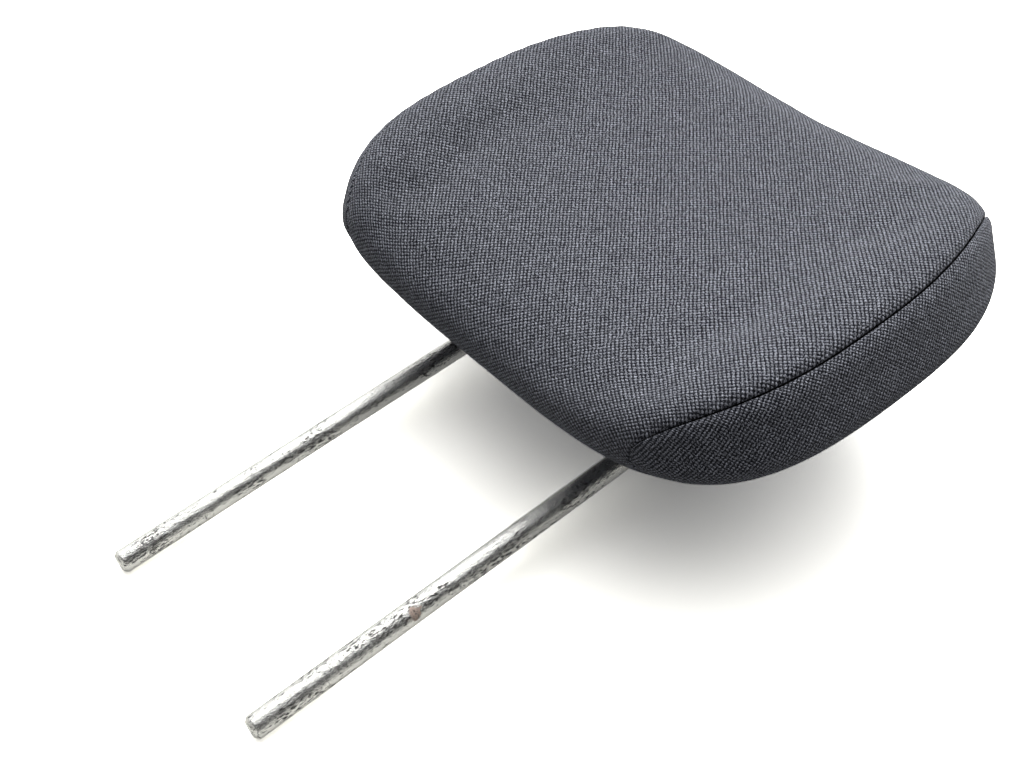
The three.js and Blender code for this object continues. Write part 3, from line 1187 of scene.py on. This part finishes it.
@dataclass
class Cover:
    """The sewn cover: a centre panel that wraps round the cushion and two side gussets."""

    form: CushionForm
    place: LyingPlace
    holes: PostHoles
    thickness: float = 2.6
    edge_roll: tuple[float, float] = (1.3, 1.0)
    edge_wall: float = 0.45
    edge_gap: float = 0.08
    cell: float = 2.1
    seam_cell: float = 0.3
    seam_reach: float = 6.0
    seam_search: float = 14.0
    seam_step: float = 0.4
    roll_share: float = 0.85
    post_cell: tuple[float, float] = (1.0, 14.0)
    post_spread: float = 1.09
    end_cell: tuple[float, float] = (0.7, 12.0)
    slit_half_width: float = 50.0
    slit_fade: float = 8.0
    slit_roll: float = 2.0
    level_share: float = 0.58
    seam_dip: float = 0.2
    dip_width: float = 6.0
    pull_depth: float = 0.3
    pull_pitch: float = 11.0
    pull_width: float = 7.0
    floor_gap: float = 0.05
    side_start_deg: float = 20.0
    side_shoulder: float = 8.0
    side_turn: float = 10.0
    side_reach: float = 12.0
    side_room: float = 16.8
    least_room: float = 0.08
    room_fade: float = 0.3

    def table_z(self, y: np.ndarray) -> np.ndarray:
        """Height of the floor in the own frame.

        Args:
            y: Places up the headrest.

        Returns:
            Z of the floor there.
        """
        tilt = self.place.tilt
        floor = self.floor_gap - self.place.lift
        return (floor - y * math.sin(tilt)) / math.cos(tilt)

    def rest_on_floor(self, grid: np.ndarray, above: float = 0.0) -> np.ndarray:
        """Flattens what would reach through the floor.

        Args:
            grid: (…, 3) points in the own frame.
            above: How far above the floor they stay.

        Returns:
            The flattened points.
        """
        flat = grid.copy()
        flat[..., 2] = np.maximum(flat[..., 2], self.table_z(flat[..., 1]) + above)
        return flat

    def seam_lines(self) -> np.ndarray:
        """Points close together along both side seams, in the own frame.

        Returns:
            (n, 3) points.
        """
        lines = []
        for side in (-1.0, 1.0):
            line = np.concatenate(self.form.wrap_line(side, 0.0))
            lines.append(along_line(line, np.arange(0.0, line_length(line), self.seam_step)))
        return self.rest_on_floor(np.concatenate(lines))

    def both_ends(self, length: float) -> list[tuple[float, float, float]]:
        """Where a grid's lines crowd towards a seam at both of its ends.

        Args:
            length: The grid's length.

        Returns:
            (place, spacing there, reach) for each end.
        """
        return [(end, self.seam_cell, self.seam_reach) for end in (0.0, length)]

    def centre_grid(self) -> tuple[np.ndarray, np.ndarray]:
        """The centre panel's outer surface before its seams are rolled in.

        Returns:
            (across, round, 3) points and (across, round, 2) places on the cloth.
        """
        half = self.form.seam_middle
        post = self.post_spread * self.holes.spacing / 2.0
        posts = [(half + side * post, *self.post_cell) for side in (-1.0, 1.0)]
        near = self.both_ends(2.0 * half) + posts
        shares = crowded_steps(2.0 * half, self.cell, near) / half - 1.0
        middle_line = np.concatenate(self.form.wrap_line(0.0, self.edge_gap))
        middle_length = line_length(middle_line)
        round_shares = crowded_steps(middle_length, self.cell, self.both_ends(middle_length))
        round_shares /= middle_length
        starts = self.slit_heights(shares)
        grid = np.empty((len(shares), len(round_shares), 3))
        cloth = np.empty(grid.shape[:2] + (2,))
        for row, (share, start_y) in enumerate(zip(shares, starts)):
            ahead, behind = self.form.wrap_line(float(share), self.edge_gap)
            lower = behind[:, 1] < self.form.height / 2.0
            first = int(np.nonzero(lower & (behind[:, 1] < start_y))[0][0])
            fraction = (behind[first - 1, 1] - start_y) / (behind[first - 1, 1] - behind[first, 1])
            start = behind[first - 1] + fraction * (behind[first] - behind[first - 1])
            # From the slit down the back, up the front, over the top and down to the slit again.
            ends = start[None]
            loop = np.concatenate([ends, behind[first:], ahead[1:], behind[1:first], ends])
            steps = np.linalg.norm(np.diff(loop, axis=0), axis=1)
            to_ahead = len(behind) - first + 1
            to_middle = to_ahead + int(np.searchsorted(ahead[:, 1], self.form.height / 2.0))
            grid[row] = along_line(loop, round_shares * steps.sum())
            cloth[row, :, 1] = round_shares * steps.sum() - steps[:to_middle].sum()
        grid = self.rest_on_floor(grid)
        cloth[..., 0] = grid[..., 0]
        return grid, cloth * MM

    def slit_heights(self, shares: np.ndarray) -> np.ndarray:
        """Height on the back at which each line round the cushion starts, at the closed slit.

        Args:
            shares: Shares of the way to the side seams.

        Returns:
            Heights in the own frame: in the plane of the posts, and level beyond the posts.
        """
        inner = np.linspace(0.0, self.level_share, 12)
        found = []
        for share in inner:
            behind = self.form.wrap_line(float(share), self.edge_gap)[1]
            below = (behind[:, 2] > 0.0) & (behind[:, 1] < self.form.height / 2.0)
            found.append(behind[np.nonzero(below)[0][0], 1])
        return np.interp(np.minimum(np.abs(shares), self.level_share), inner, np.array(found))

    def falling_side(self, section: np.ndarray, belt: int) -> np.ndarray:
        """Redraws a gusset's section so that it rolls over the seam and then falls steeply.

        The sewn cover does this, and the smooth form of the CAD solid has a shelf there.

        Args:
            section: (n, 3) points from the front seam over the belt to the back seam.
            belt: The number of the point on the belt.

        Returns:
            The redrawn section, unchanged from a little behind the belt on.
        """
        room = min(1.0, float(section[belt, 0] - section[0, 0]) / self.side_room)
        if room < self.least_room:
            return section
        low = section[belt, 2] - self.side_reach * room
        last = belt + int(np.argmin(np.abs(section[belt:, 2] - low)))
        step = section[last + 1] - section[last - 1]
        end_turn = math.atan2(-step[2], step[0]) % (2.0 * math.pi)
        span = (section[last] - section[0])[[0, 2]]
        chord = float(np.hypot(*span))
        shoulder = min(self.side_shoulder, 0.3 * chord)
        rounding = min(self.side_turn, 0.3 * chord)
        start_turn = math.radians(self.side_start_deg)

        def turned(start: float, end: float, length: float, count: int) -> np.ndarray:
            angle = np.linspace(start, end, count)
            middle = (angle[1:] + angle[:-1]) / 2.0
            return np.stack([np.cos(middle), -np.sin(middle)], axis=-1) * length / (count - 1)

        def wall(turn: float) -> tuple[np.ndarray, np.ndarray, np.ndarray, float, float]:
            over = turned(start_turn, turn, shoulder, 40)
            under = turned(turn, end_turn, rounding, 40)
            left = span - over.sum(axis=0) - under.sum(axis=0)
            way = np.array([math.cos(turn), -math.sin(turn)])
            return over, under, way, float(left @ way), float(left[0] * way[1] - left[1] * way[0])

        # The wall's turn is the one that brings the section's end to where it was.
        near, far = start_turn, end_turn
        for _ in range(40):
            turn = (near + far) / 2.0
            near, far = (turn, far) if wall(turn)[4] > 0.0 else (near, turn)
        over, under, way, length, _ = wall(near)
        if length <= 0.0:
            return section
        flat = np.repeat(way[None] * length / 60, 60, axis=0)
        steps = np.concatenate([[[0.0, 0.0]], over, flat, under])
        drawn = np.zeros((len(steps), 3))
        drawn[:, [0, 2]] = section[0, [0, 2]] + np.cumsum(steps, axis=0)
        drawn[:, 1] = section[0, 1]
        old = np.linalg.norm(np.diff(section[: last + 1], axis=0), axis=1)
        share = np.concatenate([[0.0], np.cumsum(old)]) / old.sum()
        total = np.linalg.norm(steps, axis=1).sum()
        new = along_line(drawn, share * total)
        weight = eased((room - self.least_room) / self.room_fade)
        redrawn = section.copy()
        redrawn[: last + 1] += weight * (new - section[: last + 1])
        return redrawn

    def gusset_grid(self, side: float) -> tuple[np.ndarray, np.ndarray]:
        """A gusset's outer surface before its seams are rolled in.

        Args:
            side: -1 for the left gusset, 1 for the right one.

        Returns:
            (across, along, 3) points and (across, along, 2) places on the cloth.
        """
        form = self.form

        def seam(y: np.ndarray) -> np.ndarray:
            return form.seam_x(y) + self.edge_gap

        y = form.end_to_end(form.belt_y(seam, False), form.belt_y(seam, True))
        line = np.stack([seam(y), y, form.faces(seam(y), y)[0]], axis=-1)
        steps = np.concatenate([[0.0], np.cumsum(np.linalg.norm(np.diff(line, axis=0), axis=1))])
        length = float(steps[-1])
        ends = [(0.0, *self.end_cell), (length, *self.end_cell)]
        y = np.interp(crowded_steps(length, self.cell, ends), steps, y)
        seam_at, belt_at = seam(y), form.outline_x(y)
        belt_at = np.maximum(belt_at, seam_at)
        across = 1.0 - np.linspace(1.0, 0.0, 240) ** form.edge_crowding
        sections = []
        for n, height in enumerate(y):
            x = seam_at[n] + (belt_at[n] - seam_at[n]) * across
            ahead, behind, _ = form.faces(x, np.full_like(x, height))
            ends = (ahead[-1] + behind[-1]) / 2.0
            ahead[-1] = behind[-1] = ends
            over = np.stack([x, np.full_like(x, height), ahead], axis=-1)
            under = np.stack([x, np.full_like(x, height), behind], axis=-1)[::-1]
            section = np.concatenate([over, under[1:]])
            sections.append(self.falling_side(section, len(over) - 1))
        widest = max(line_length(section) for section in sections)
        shares = crowded_steps(widest, self.cell, self.both_ends(widest)) / widest
        grid = np.empty((len(shares), len(y), 3))
        cloth = np.empty((len(shares), len(y), 2))
        for n, section in enumerate(sections):
            length = line_length(section)
            grid[:, n] = along_line(section, shares * length)
            cloth[:, n, 0] = (shares - 0.5) * length
        belt_step = np.linalg.norm(np.diff(grid[len(shares) // 2], axis=0), axis=1)
        cloth[..., 1] = np.concatenate([[0.0], np.cumsum(belt_step)])[None, :]
        grid[..., 0] *= side
        return self.rest_on_floor(form.lean(grid)), cloth * MM

    @staticmethod
    def rolled_depth(gap: np.ndarray, radius: float) -> np.ndarray:
        """How deep an edge is rolled in at a distance from its seam.

        Args:
            gap: Distances from the seam.
            radius: The roll's radius.

        Returns:
            Depths.
        """
        left = np.clip(radius - gap, 0.0, radius)
        return radius - np.sqrt(np.maximum(radius**2 - left**2, 0.0))

    def seam_depth(self, grid: np.ndarray, seams: np.ndarray, part: Part) -> np.ndarray:
        """How deep each point lies in a seam, the slit or the pucker round a post.

        Args:
            grid: (a, b, 3) points in the own frame.
            seams: Points along the side seams.
            part: Which panel the grid is.

        Returns:
            (a, b) depths.
        """
        tree = nearest_tree(seams)
        flat = grid.reshape(-1, 3)
        close = np.ones(len(flat)) * 1e3
        seam_x = self.form.seam_x(np.clip(flat[:, 1], 0.0, self.form.height))
        nearby = np.abs(np.abs(flat[:, 0]) - seam_x) < self.seam_search
        for i in np.nonzero(nearby)[0]:
            close[i] = tree.find(Vector(flat[i]))[2]
        gap = close.reshape(grid.shape[:2])
        roll = self.edge_roll[0 if part is Part.CENTRE else 1]
        depth = self.roll_share * self.rolled_depth(np.maximum(gap - self.edge_gap, 0.0), roll)
        ripple = 0.5 + 0.5 * np.sin(2.0 * math.pi * grid[..., 1] / self.pull_pitch)
        depth += self.pull_depth * ripple * np.exp(-((gap / self.pull_width) ** 2))
        depth += self.seam_dip * np.exp(-((gap / self.dip_width) ** 2))
        if part is Part.CENTRE:
            slit = grid[:, :1]
            to_slit = np.linalg.norm(grid - slit, axis=-1)
            low = grid[..., 1] < self.form.height / 2.0
            past = np.abs(grid[..., 0]) - self.slit_half_width
            beyond = np.clip(past / self.slit_fade, 0.0, 1.0)
            rolled = self.roll_share * self.rolled_depth(to_slit, self.slit_roll)
            groove = rolled * (1.0 - beyond) * low
            depth = np.maximum(depth, groove) + self.holes.pucker(grid)
        return depth

    def panel(self, part: Part, foam: FoamPad, seams: np.ndarray) -> bpy.types.Object:
        """Builds one panel as a closed shell.

        Args:
            part: Which panel.
            foam: The settled foam, which says how far the panel stands out.
            seams: Points along the side seams.

        Returns:
            The panel's object.
        """
        if part is Part.CENTRE:
            grid, cloth = self.centre_grid()
        else:
            grid, cloth = self.gusset_grid(-1.0 if part is Part.LEFT else 1.0)
        middle = np.array([0.0, self.form.height / 2.0, self.form.belt_height])
        outside = grid - middle
        outside[..., 0] *= 1.0 if part is not Part.CENTRE else 0.15
        normal = grid_normals(grid, outside)
        if part is Part.CENTRE:
            joined = normal[:, :1] + normal[:, -1:]
            normal[:, [0, -1]] = joined / np.linalg.norm(joined, axis=-1, keepdims=True)
        else:
            for end, inner in ((0, 3), (-1, -4)):
                mean = normal[:, inner].mean(axis=0)
                normal[:, end] = mean / np.linalg.norm(mean)
        swell = foam.swell_at(self.place.to_row(grid).reshape(-1, 3)) / MM
        surface = grid + normal * swell.reshape(grid.shape[:2])[..., None]
        depth = self.seam_depth(grid, seams, part)
        outer = self.rest_on_floor(surface - normal * depth[..., None])
        wall = np.maximum(depth + self.edge_wall, self.thickness)
        if part is not Part.CENTRE:
            to_end = np.minimum(np.arange(grid.shape[1]), np.arange(grid.shape[1])[::-1])
            thin = np.clip(to_end / 8.0, 0.12, 1.0)[None, :]
            wall = depth + np.maximum((wall - depth) * thin, 0.05)
        inner = self.rest_on_floor(surface - normal * wall[..., None], self.thickness)
        return self.shell(part, outer, inner, cloth)

    def shell(
        self, part: Part, outer: np.ndarray, inner: np.ndarray, cloth: np.ndarray
    ) -> bpy.types.Object:
        """Joins an outer and an inner grid into a closed shell.

        Args:
            part: Which panel.
            outer: (a, b, 3) points.
            inner: (a, b, 3) points.
            cloth: (a, b, 2) places on the cloth.

        Returns:
            The object.
        """
        rows, columns = outer.shape[:2]
        if part is not Part.CENTRE:
            for grid in (outer, inner):
                grid[:, 0] = grid[:, 0].mean(axis=0)
                grid[:, -1] = grid[:, -1].mean(axis=0)
        points = self.place.to_row(np.concatenate([outer.reshape(-1, 3), inner.reshape(-1, 3)]))
        maps = np.concatenate([cloth.reshape(-1, 2)] * 2)
        under = rows * columns
        faces = grid_faces(rows, columns)
        faces += [face[::-1] for face in grid_faces(rows, columns, start=under)]
        for a in (0, rows - 1):
            for b in range(columns - 1):
                corner = a * columns + b
                faces.append((corner, corner + 1, under + corner + 1, under + corner))
        return mesh_object(part.value + "_cloth", points, faces, maps)


@dataclass
class PostBow:
    """The bent round bar whose two legs are the posts."""

    bar_radius: float = 5.0
    spacing: float = 102.0
    reach: float = 138.8
    crossbar: float = 138.0
    bend_radius: float = 22.0
    chamfer: float = 1.6
    chamfer_round: float = 0.35
    sides: int = 64
    bend_steps: int = 24
    rust_spot: tuple[float, float, float] = (54.8, -64.5, 3.3)

    def tree(self) -> bpy.types.NodeTree:
        """Builds the geometry nodes that bend the bar from its sizes.

        Returns:
            The node tree.
        """
        tree = bpy.data.node_groups.new("bent_bar", "GeometryNodeTree")
        face = tree.interface
        face.new_socket("Geometry", in_out="OUTPUT", socket_type="NodeSocketGeometry")
        for label in ("Spacing", "Reach", "Crossbar", "Bend Radius", "Bar Radius"):
            face.new_socket(label, in_out="INPUT", socket_type="NodeSocketFloat")
        face.new_socket("Finish", in_out="INPUT", socket_type="NodeSocketMaterial")
        g = Graph(tree, "NodeGroupOutput")
        given = g.add("NodeGroupInput").outputs
        line = g.add("GeometryNodeCurvePrimitiveLine").outputs["Curve"]
        points = g.add("GeometryNodeResampleCurve", {"Curve": line, "Count": 4}).outputs["Curve"]
        index = g.add("GeometryNodeInputIndex").outputs[0]
        side = g.math("SUBTRACT", g.math("GREATER_THAN", index, 1.5), 0.5)
        from_middle = g.math("ABSOLUTE", g.math("SUBTRACT", index, 1.5))
        tip = g.math("GREATER_THAN", from_middle, 1.0)
        drop = g.math("MULTIPLY", tip, g.math("ADD", given["Crossbar"], given["Reach"]))
        across = g.math("MULTIPLY", side, given["Spacing"])
        up = g.math("SUBTRACT", given["Crossbar"], drop)
        corner = g.add("ShaderNodeCombineXYZ", {"X": across, "Y": up}).outputs[0]
        moved = g.add("GeometryNodeSetPosition", {"Geometry": points, "Position": corner})
        bends = {"Count": self.bend_steps, "Limit Radius": True, "Radius": given["Bend Radius"]}
        bent = g.add(
            "GeometryNodeFilletCurve", {"Curve": moved.outputs["Geometry"], **bends}, mode="POLY"
        )
        ring = g.add(
            "GeometryNodeCurvePrimitiveCircle",
            {"Resolution": self.sides, "Radius": given["Bar Radius"]},
        )
        sweep = {"Curve": bent.outputs["Curve"], "Profile Curve": ring.outputs["Curve"]}
        tube = g.add("GeometryNodeCurveToMesh", {**sweep, "Fill Caps": True})
        real = g.add("GeometryNodeRealizeInstances", {0: tube.outputs["Mesh"]})
        finish = g.add(
            "GeometryNodeSetMaterial", {"Geometry": real.outputs[0], "Material": given["Finish"]}
        )
        g.tree.links.new(finish.outputs["Geometry"], g.output.inputs["Geometry"])
        return tree

    def build(self, place: LyingPlace, finish: bpy.types.Material) -> bpy.types.Object:
        """Builds the bar with its chamfered tips, where it lies.

        Args:
            place: Where the headrest lies.
            finish: Its material.

        Returns:
            The bar.
        """
        blank = placed("post_bow_blank", bpy.data.meshes.new("post_bow_blank"))
        modifier = blank.modifiers.new("bend", "NODES")
        tree = self.tree()
        modifier.node_group = tree
        sizes = {
            "Spacing": self.spacing * MM,
            "Reach": self.reach * MM,
            "Crossbar": self.crossbar * MM,
            "Bend Radius": self.bend_radius * MM,
            "Bar Radius": self.bar_radius * MM,
            "Finish": finish,
        }
        for item in tree.interface.items_tree:
            if item.in_out == "INPUT":
                modifier[item.identifier] = sizes[item.name]
        bar = evaluated_copy(blank, "post_bow_bar")
        form = bmesh.new()
        form.from_mesh(bar.data)
        bmesh.ops.remove_doubles(form, verts=form.verts, dist=0.000001)
        sharp, slanted = math.radians(60.0), math.radians(30.0)
        rims = [e for e in form.edges if e.calc_face_angle(0.0) > sharp]
        common = {"offset_type": "OFFSET", "profile": 0.5, "affect": "EDGES"}
        made = bmesh.ops.bevel(form, geom=rims, offset=self.chamfer * MM, segments=1, **common)
        edges = {e for f in made["faces"] for e in f.edges}
        corners = [e for e in edges if slanted < e.calc_face_angle(0.0) < sharp]
        bmesh.ops.bevel(
            form, geom=corners, offset=self.chamfer_round * MM, segments=2, **common
        )
        bmesh.ops.transform(form, matrix=place.matrix(), verts=form.verts)
        bmesh.ops.recalc_face_normals(form, faces=form.faces)
        for face in form.faces:
            face.smooth = len(face.verts) <= 4
        form.to_mesh(bar.data)
        form.free()
        dress(bar, finish)
        return bar


# The setting


@dataclass(frozen=True)
class Studio:
    """The floor, the light and the camera."""

    azimuth: float = 0.966
    elevation: float = 0.809
    roll: float = -0.125
    distance: float = 557.02
    focal_px: float = 1320.06
    target: tuple[float, float, float] = (4.399, -17.051, 25.0)
    fit_shift_y: float = 45.394
    image_width: float = 1024.0
    sensor: float = 36.0
    floor_half: float = 6.0
    floor_seen: Colour = (4.3, 4.26, 4.05)
    floor_mirrored: Colour = (0.95, 0.94, 0.88)
    floor_lift: float = 0.14
    floor_bounce: Colour = (0.3, 0.3, 0.3)
    sky_from: tuple[float, float, float] = (-0.45, 0.6, 0.85)
    sky_edges: tuple[float, float] = (0.18, 0.97)
    sky_levels: tuple[float, float] = (0.02, 1.0)
    mirror_from: tuple[float, float, float] = (-0.6, 0.2, 0.77)
    mirror_edges: tuple[float, float] = (0.4, 0.68)
    mirror_levels: tuple[float, float] = (0.07, 1.15)
    key_power: float = 34.0
    key_size: float = 1.7
    key_from: tuple[float, float, float] = (-0.9, 1.25, 1.7)

    def camera(self, place: LyingPlace) -> None:
        """Sets up the camera as in the photograph.

        Args:
            place: Where the headrest lies.
        """
        a, e = self.azimuth, self.elevation
        back = np.array([math.sin(a) * math.cos(e), -math.cos(a) * math.cos(e), math.sin(e)])
        right = np.cross([0.0, 0.0, 1.0], back)
        right /= np.linalg.norm(right)
        up = np.cross(back, right)
        cos, sin = math.cos(self.roll), math.sin(self.roll)
        rolled_right, rolled_up = cos * right + sin * up, cos * up - sin * right
        eye = np.array(self.target) + self.distance * back
        eye[1] += self.fit_shift_y
        turn = Matrix.Rotation(place.tilt, 3, "X")
        axes = [turn @ Vector(v) for v in (rolled_right, rolled_up, back)]
        matrix = Matrix([[axes[c][r] for c in range(3)] for r in range(3)]).to_4x4()
        matrix.translation = Vector(place.to_row(eye))
        lens = bpy.data.cameras.new("camera")
        lens.sensor_width = self.sensor
        lens.lens = self.focal_px / self.image_width * self.sensor
        lens.clip_start = 0.01
        camera = placed("camera", lens)
        camera.matrix_world = matrix
        bpy.context.scene.camera = camera

    def floor(self) -> None:
        """Lays the pale floor, which the camera sees white."""
        g = Graph.for_material("pale_floor")
        path = g.add("ShaderNodeLightPath")
        camera = path.outputs["Is Camera Ray"]
        mirror = g.math(
            "MAXIMUM", path.outputs["Is Glossy Ray"], path.outputs["Is Transmission Ray"]
        )
        seen = g.math("MAXIMUM", camera, mirror)
        shade = g.blend(mirror, self.floor_bounce, self.floor_mirrored)
        matt = g.add("ShaderNodeBsdfDiffuse", {"Color": g.blend(camera, shade, self.floor_seen)})
        lift = g.math("MULTIPLY", seen, self.floor_lift)
        glow = g.add("ShaderNodeEmission", {"Color": (1.0, 1.0, 1.0), "Strength": lift})
        both = g.add("ShaderNodeAddShader", {0: matt.outputs[0], 1: glow.outputs[0]})
        g.tree.links.new(both.outputs[0], g.output.inputs["Surface"])
        h = self.floor_half
        corners = np.array([[-h, -h, 0.0], [h, -h, 0.0], [h, h, 0.0], [-h, h, 0.0]])
        floor = mesh_object("floor", corners, [(0, 1, 2, 3)])
        dress(floor, g.owner)

    def light(self) -> None:
        """Adds the sky and the soft key lamp."""
        world = bpy.data.worlds.new("studio")
        bpy.context.scene.world = world
        g = Graph(world, "ShaderNodeOutputWorld")
        path = g.add("ShaderNodeLightPath").outputs
        ray = g.add("ShaderNodeTexCoord").outputs["Generated"]

        def glow(
            axis: Sequence[float], edges: tuple[float, float], levels: tuple[float, float]
        ) -> bpy.types.NodeSocket:
            facing = g.vector("DOT_PRODUCT", ray, Vector(axis).normalized(), out="Value")
            return g.between(facing, *edges, *levels)

        def switch(kind: str, usual: Any, special: Any) -> bpy.types.NodeSocket:
            return g.add("ShaderNodeMix", {0: path[kind], 2: usual, 3: special}).outputs[0]

        soft_glow = glow(self.sky_from, self.sky_edges, self.sky_levels)
        mirrored = glow(self.mirror_from, self.mirror_edges, self.mirror_levels)
        level = switch("Is Camera Ray", switch("Is Glossy Ray", soft_glow, mirrored), 1.0)
        sky = g.add("ShaderNodeBackground", {"Color": (1.0, 1.0, 1.0), "Strength": level})
        g.tree.links.new(sky.outputs[0], g.output.inputs["Surface"])
        lamp = bpy.data.lights.new("key", "AREA")
        lamp.shape = "SQUARE"
        lamp.size = self.key_size
        lamp.energy = self.key_power
        key = placed("key", lamp)
        key.location = self.key_from
        key.rotation_euler = Vector(self.key_from).to_track_quat("Z", "Y").to_euler()


# Putting it together


def dress_hidden_nodes(frame: dict[str, Any]) -> None:
    """Gives the CAD nodes inside the cushion their finishes.
    """
    core = Moulded((0.05, 0.05, 0.055), 0.45, 800.0, 0.00008).build("core_plastic")
    strip = Moulded((0.08, 0.08, 0.085), 0.4, 1200.0, 0.00004).build("strip_plastic")
    screw = ScrewSteel().build("screw_steel")
    for name, node in frame["nodes"].items():
        for start, finish in (("core_screw", screw), ("core_", core), ("closure_", strip)):
            if name.startswith(start):
                dress(node, finish)
                LOG.info("dressed %s", name)
                break


def hand_over(
    piece: bpy.types.Object, node: str, finish: bpy.types.Material
) -> None:
    """Dresses a piece, hangs it on the root body and hides the CAD node that it stands for.

    Args:
        piece: The piece.
        node: The CAD node's name.
        finish: Its material.
    """
    dress(piece, finish)
    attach(piece, "root")
    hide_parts(node)
    LOG.info("%s: %d faces", piece.name, len(piece.data.polygons))


def main() -> None:
    """Builds the scene."""
    logging.basicConfig(level=logging.INFO, format="%(name)s: %(message)s")
    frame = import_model()
    scene = bpy.context.scene
    scene.view_settings.view_transform = "Standard"

    bow = PostBow()
    place = LyingPlace.from_record(frame["record"], bow.reach)
    studio = Studio()
    studio.camera(place)
    studio.light()
    studio.floor()

    dress_hidden_nodes(frame)

    form = CushionForm()
    cover = Cover(form, place, PostHoles())
    seams = cover.seam_lines()
    foam = FoamPad(form, place)
    soft = foam.simulate(place.to_row(foam.drawn_in(seams[::6])))

    cloth = BirdseyeCloth()
    centre_cloth = cloth.build("birdseye_cloth")
    gusset_cloth = cloth.build("birdseye_cloth_gusset", repeat_share=0.86)
    for part in Part:
        panel = cover.panel(part, foam, seams)
        centre = part is Part.CENTRE
        if centre:
            panel = cut_by(panel, cover.holes.drills(place), part.value + "_cloth")
        hand_over(panel, part.value, centre_cloth if centre else gusset_cloth)

    skin = Moulded((0.08, 0.08, 0.085), 0.8, 500.0, 0.0002).build("foam_skin")
    hand_over(foam.finish(soft), "foam_pad", skin)

    rust_at = place.to_row(np.array(bow.rust_spot))
    zinc = WornZinc().build("worn_zinc", rust_at.tolist())
    hand_over(bow.build(place, zinc), "post_bow", zinc)


if __name__ == "__main__":
    main()
